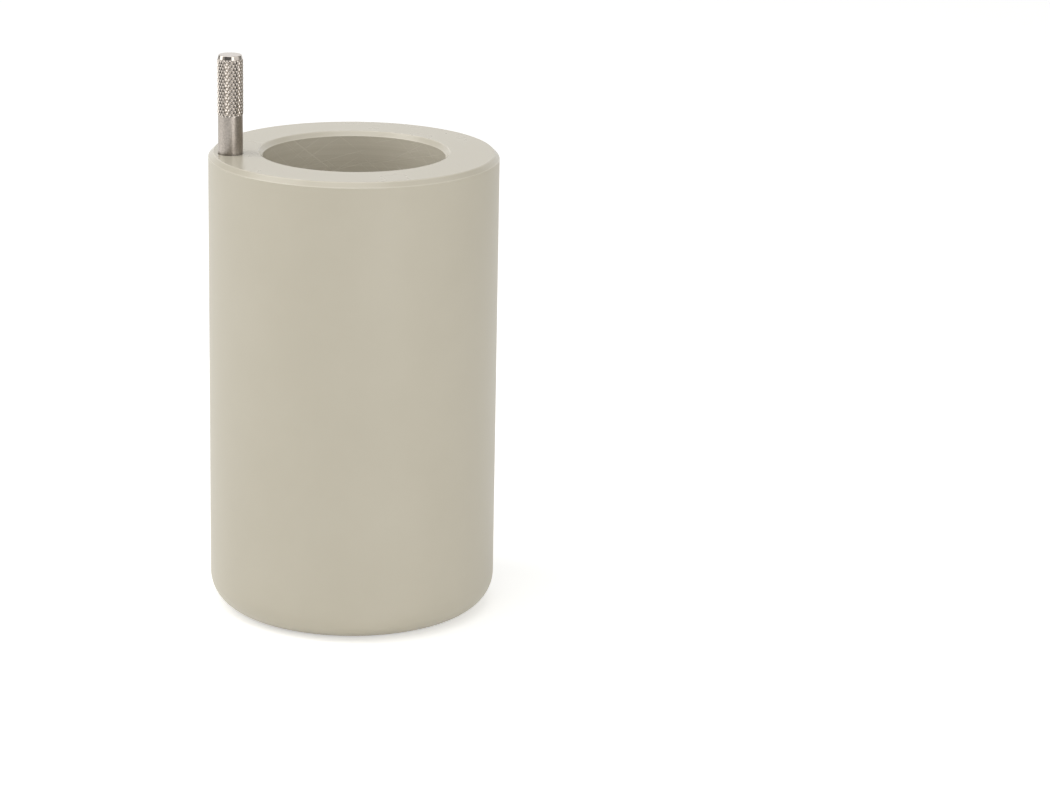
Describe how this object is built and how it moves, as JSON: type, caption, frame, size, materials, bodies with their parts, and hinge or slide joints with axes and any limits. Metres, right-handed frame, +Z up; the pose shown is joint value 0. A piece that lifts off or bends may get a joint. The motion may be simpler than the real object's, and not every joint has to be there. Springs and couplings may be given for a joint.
{
  "type": "centrifuge tube adapter",
  "caption": "Turned plastic cylinder with a round-bottomed tube well and a knurled steel lift pin, which narrows a rotor cavity to a smaller tube.",
  "frame": {"origin": "centre of the base, where the body's axis meets the surface it stands on", "axes": "+Z up along the body's axis and the well, -X towards the lift pin"},
  "size_m": [0.062, 0.062, 0.1217],
  "materials": {
    "turned_plastic": "turned, satin, with fine tool rings",
    "stainless_steel": "ground shank, knurled grip"
  },
  "bodies": {
    "root": {"adapter_body": "turned_plastic", "lift_pin": "stainless_steel"}
  },
  "joints": []
}
